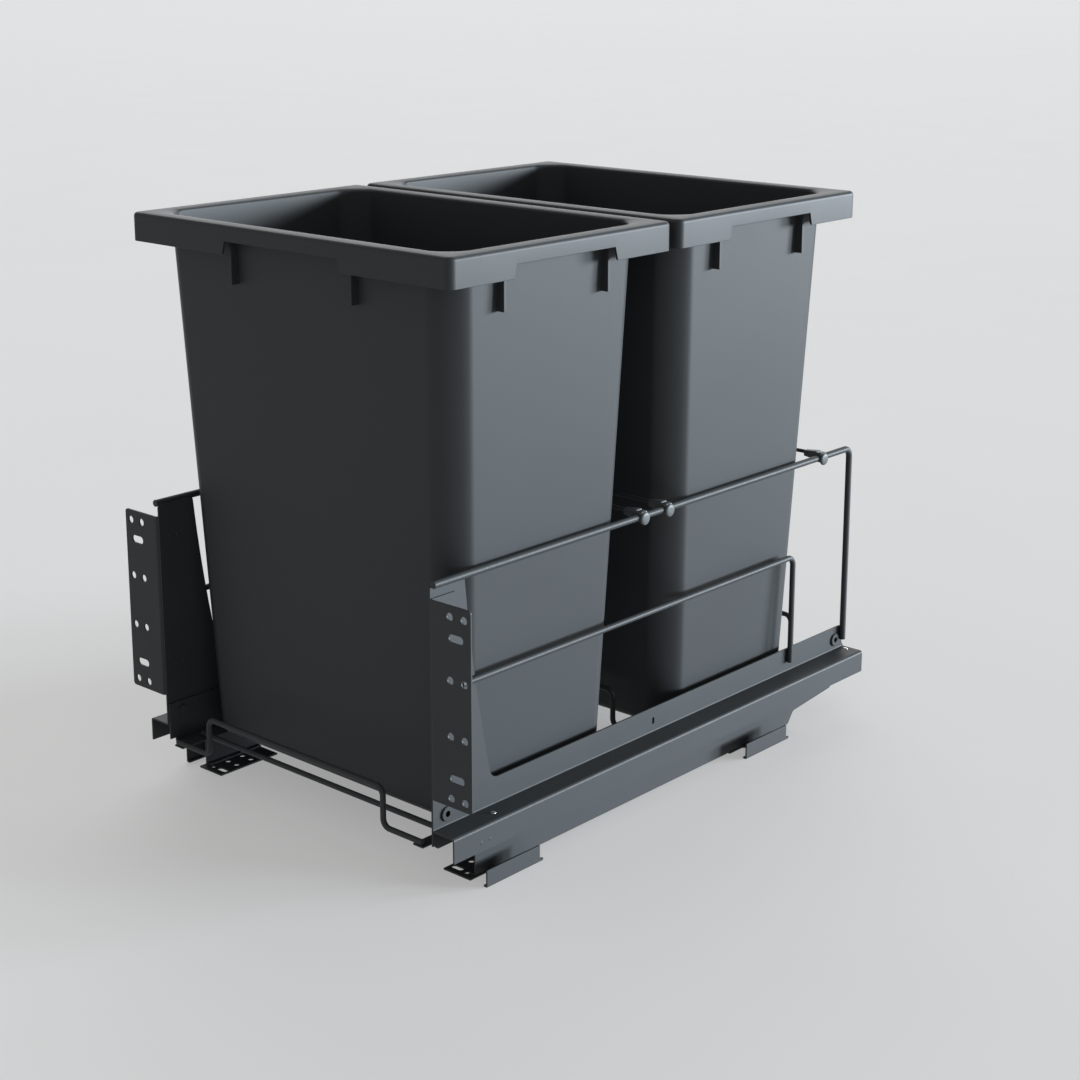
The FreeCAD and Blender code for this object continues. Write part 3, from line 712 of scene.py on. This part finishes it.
def spun(bm, profile, origin, axis):
    """Solid of revolution: (radius, height) points in mm, height along the axis."""
    turn_to = axis.to_track_quat("Z", "Y").to_matrix().to_4x4()
    place = Matrix.Translation(origin) @ turn_to
    verts = [bm.verts.new(place @ Vector((r * MM, 0, h * MM))) for r, h in profile]
    edges = [bm.edges.new(pair) for pair in zip(verts, verts[1:])]
    bmesh.ops.spin(bm, geom=verts + edges, cent=origin, axis=axis, angle=2 * math.pi,
                   steps=ROUND_SIDES, use_merge=True)


def dome(radius, rise, sink):
    """Profile of a low rivet head with its seat sunk a little below the surface."""
    arc = [(radius * math.cos(a), rise * math.sin(a)) for a in
           (math.radians(15 * i) for i in range(6))]
    return [(0, -sink), (radius, -sink)] + arc + [(0, rise)]


print("a small dome:", [(round(r, 2), round(h, 2)) for r, h in dome(1.7, 0.5, 0.4)])

# %% [markdown]
# The screw that ties the side frame to the floor runner has a flat head with a
# hexagon socket. Its face is bridged from the round edge to a hexagon, and the
# hexagon is then pushed into the head. A nut holds it behind the runner.

# %% Socket screws and their nuts
shank_r, shank_in = 3.0, 4.0
head_r, head_high, head_ease = 6.0, 1.8, 0.5
face_r, socket_r, socket_deep = 3.4, 2.8, 3.0      # round inner edge of the face, hexagon
nut_r, nut_thick = 4.4, 1.8
screw_y, screw_z = (11.6, rear_y - 15.5), 63.8


def socket_screw(bm, place, out):
    """Screw with its head's seat at a place, its head pointing out, and its nut."""
    spun(bm, [(0, -shank_in), (shank_r, -shank_in), (shank_r, 0), (head_r, 0),
              (head_r, head_high - head_ease), (head_r - head_ease, head_high),
              (face_r, head_high)], place, out)
    turn_to = out.to_track_quat("Z", "Y").to_matrix().to_4x4()
    face = place + out * head_high * MM
    ring = [e for e in bm.edges if e.is_boundary and all(
        abs((v.co - face).dot(out)) < hair * MM
        and abs((v.co - face).length - face_r * MM) < hair * MM for v in e.verts)]
    corners = bmesh.ops.create_circle(bm, cap_ends=False, segments=6, radius=socket_r * MM,
                                      matrix=Matrix.Translation(face) @ turn_to)["verts"]
    mouth = list({e for v in corners for e in v.link_edges})
    bmesh.ops.bridge_loops(bm, edges=ring + mouth)
    sunk = bmesh.ops.extrude_edge_only(bm, edges=mouth)["geom"]
    bmesh.ops.translate(bm, vec=-out * socket_deep * MM,
                        verts=[g for g in sunk if isinstance(g, bmesh.types.BMVert)])
    bmesh.ops.holes_fill(bm, edges=[g for g in sunk if isinstance(g, bmesh.types.BMEdge)],
                         sides=0)
    bmesh.ops.create_cone(bm, cap_ends=True, segments=6, radius1=nut_r * MM,
                          radius2=nut_r * MM, depth=nut_thick * MM,
                          matrix=Matrix.Translation(place - out * shank_in * MM) @ turn_to)


bm = bmesh.new()
for side, label in SIDES:
    for y in screw_y:
        socket_screw(bm, spot(side * frame_x, y, screw_z), X * side)
screws = make_piece(bm, "ring_screws_turned", "carriage", powder_coat, 0.25,
                    ["ring_screws"])
print(screws.name, "faces:", len(screws.data.polygons))

# %% [markdown]
# Rivets join the door plate to the upright and the flange to the slide. Each
# shows as a low dome: coated where it was set before the coating, bright zinc
# on the flange. On the skirt only two very flat marks show. None stands more
# than a millimetre proud, so they have no solids of their own.

# %% Rivets on the carriage
small_dome, flat_mark, zinc_dome = dome(1.7, 0.5, 0.4), dome(1.7, 0.25, 0.3), dome(2.4, 1.0, 0.3)
sheet = 1.5                                # thickness of the side frame
plate_rivet_y, plate_rivet_z = (8.8, 16.4), (107.4, 222.9)
mark_y, mark_sink = (27.0, 37.0), 0.05
flange_spots, flange_z = ((174.5, 52.7), (170.5, 554.5)), 53.6

bm = bmesh.new()
for side, label in SIDES:
    for z in plate_rivet_z:
        for y in plate_rivet_y:
            spun(bm, small_dome, spot(side * (frame_x - sheet), y, z), -X * side)
    for y in mark_y:
        spun(bm, flat_mark, spot(side * (skirt_x - mark_sink), y, slide_z), X * side)
coated = make_piece(bm, "carriage_rivets", "carriage", powder_coat, 0.1)
bm = bmesh.new()
for side, label in SIDES:
    for x, y in flange_spots:
        spun(bm, zinc_dome, spot(side * x, y, flange_z), Z)
zinced = make_piece(bm, "flange_rivets", "carriage", zinc_steel, 0.1)
print("rivet faces:", len(coated.data.polygons), "and", len(zinced.data.polygons))

# %% [markdown]
# ## Divider clips
# Each rod ends in two small moulded clips. A clip snaps over the top wire
# with a square saddle, tapers inwards round the rod and ends outside in a
# round knob, which is what the thumb pushes. Two bevelled cubes and one spun
# knob, left overlapping, read as one moulding at this size.

# %% Mould a clip
clip_z, knob_z = 255.2, 252.2
nose_x, nose_half, nose_root_half = 149.5, 2.9, 4.2    # inner end, half sizes at its ends
nose_sunk = 1.0                                        # into the saddle
saddle_size, saddle_out, saddle_drop = Vector((6.15, 8.4, 9.2)), 3.57, 1.4
clip_round, knob_out = 1.2, 6.25
knob = [(0, 0), (5.6, 0), (5.6, 1.2), (5.2, 1.8), (4.4, 2.2), (2.4, 2.38), (0, 2.4)]


def divider_clip(bm, y, side):
    """Clip on the top wire at y, on the right (1) or left (-1) side."""
    nose = bmesh.ops.create_cube(bm, size=1.0)["verts"]
    for v in nose:
        inner = v.co.x < 0
        half = nose_half if inner else nose_root_half
        v.co = spot(side * (nose_x if inner else frame_x + nose_sunk),
                    y + math.copysign(half, v.co.y), clip_z + math.copysign(half, v.co.z))
    saddle = bmesh.ops.create_cube(bm, size=1.0)["verts"]
    bmesh.ops.scale(bm, vec=saddle_size * MM, verts=saddle)
    bmesh.ops.translate(bm, vec=spot(side * (frame_x + saddle_out), y, clip_z - saddle_drop),
                        verts=saddle)
    hard = list({e for v in nose + saddle for e in v.link_edges})
    bmesh.ops.bevel(bm, geom=hard, offset=clip_round * MM, offset_type="OFFSET", segments=3,
                    profile=TRUE_ROUND, affect="EDGES", material=-1)
    spun(bm, knob, spot(side * (frame_x + knob_out), y, knob_z), X * side)


bm = bmesh.new()
for y in divider_y:
    for side, label in SIDES:
        divider_clip(bm, y, side)
clips = make_piece(bm, "divider_clips_moulded", "carriage", clip_plastic,
                   stands_for=["divider_clips"])
print(clips.name, "faces:", len(clips.data.polygons))

# %% [markdown]
# ## Balls
# The slides' balls can be seen from behind when the unit is pulled out. An
# icosphere keeps them round from every side with few faces.

# %% Round balls in the cages
ball_r, balls_in_a_row = 1.5, 3
race_x = 167.0                 # outside of the fixed rail's web, which carries the slide
cage_start, cage_length = 168.0, 215.0


def round_balls(name, body, side, out, rise):
    """Two rows of balls, a rise above and below the slide's middle."""
    bm = bmesh.new()
    for sign in (1, -1):
        for i in range(balls_in_a_row):
            y = cage_start + cage_length / balls_in_a_row * (i + 0.5)
            place = spot(side * (race_x + out), y, slide_z + sign * rise)
            bmesh.ops.create_icosphere(bm, subdivisions=2, radius=ball_r * MM,
                                       matrix=Matrix.Translation(place))
    make_piece(bm, name + "_ground", body, ball_steel, stands_for=[name])


for side, label in SIDES:
    round_balls("outer_balls_" + label, "outer_cage_" + label, side, out=6.5, rise=8.7)
    round_balls("inner_balls_" + label, "inner_cage_" + label, side, out=9.6, rise=5.3)
